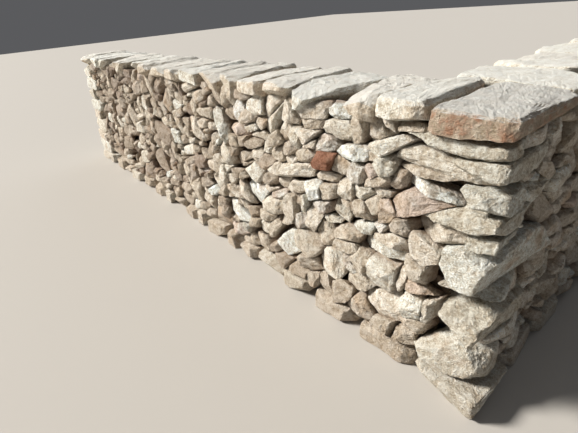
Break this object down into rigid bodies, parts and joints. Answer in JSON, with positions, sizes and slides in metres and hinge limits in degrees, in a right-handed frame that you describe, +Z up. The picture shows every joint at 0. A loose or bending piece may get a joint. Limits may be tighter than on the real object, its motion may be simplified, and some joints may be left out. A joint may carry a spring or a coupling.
{
  "type": "dry stone wall",
  "caption": "Dry stone wall of pale limestone rubble in two wings that meet at a square corner, with interlocked corner stones, battered faces and flat coping slabs.",
  "frame": {"origin": "foot of the outer corner on the ground, where the foot lines of the two outer faces cross", "axes": "long wing along -X, return wing along +Y, outer long face towards -Y, outer return face towards +X, +Z up"},
  "size_m": [5.4722, 2.4716, 1.3],
  "materials": {
    "limestone_coping": "rough split limestone, dusty",
    "limestone_footing": "rough split limestone, dusty",
    "limestone_hearting": "rough split limestone, dusty",
    "limestone_quoins": "rough split limestone, dusty",
    "limestone_rubble": "rough split limestone, dusty"
  },
  "bodies": {
    "root": {"corner_capstone": "limestone_coping", "corner_footing_stone": "limestone_footing", "corner_quoin_01": "limestone_quoins", "corner_quoin_02": "limestone_quoins", "corner_quoin_03": "limestone_quoins", "corner_quoin_04": "limestone_quoins", "corner_quoin_05": "limestone_quoins", "corner_quoin_06": "limestone_quoins", "corner_quoin_07": "limestone_quoins", "corner_quoin_08": "limestone_quoins", "corner_quoin_09": "limestone_quoins", "footing_long_inner": "limestone_footing", "footing_long_outer": "limestone_footing", "footing_return_inner": "limestone_footing", "footing_return_outer": "limestone_footing", "long_coping_1": "limestone_coping", "long_coping_2": "limestone_coping", "long_coping_3": "limestone_coping", "long_coping_4": "limestone_coping", "long_head_long_stones": "limestone_quoins", "long_head_short_stones": "limestone_quoins", "long_hearting": "limestone_hearting", "long_inner_face_1": "limestone_rubble", "long_inner_face_2": "limestone_rubble", "long_inner_face_3": "limestone_rubble", "long_inner_face_4": "limestone_rubble", "long_outer_face_1": "limestone_rubble", "long_outer_face_2": "limestone_rubble", "long_outer_face_3": "limestone_rubble", "long_outer_face_4": "limestone_rubble", "return_coping_1": "limestone_coping", "return_coping_2": "limestone_coping", "return_head_long_stones": "limestone_quoins", "return_head_short_stones": "limestone_quoins", "return_hearting": "limestone_hearting", "return_inner_face_1": "limestone_rubble", "return_inner_face_2": "limestone_rubble", "return_outer_face_1": "limestone_rubble", "return_outer_face_2": "limestone_rubble"}
  },
  "joints": []
}
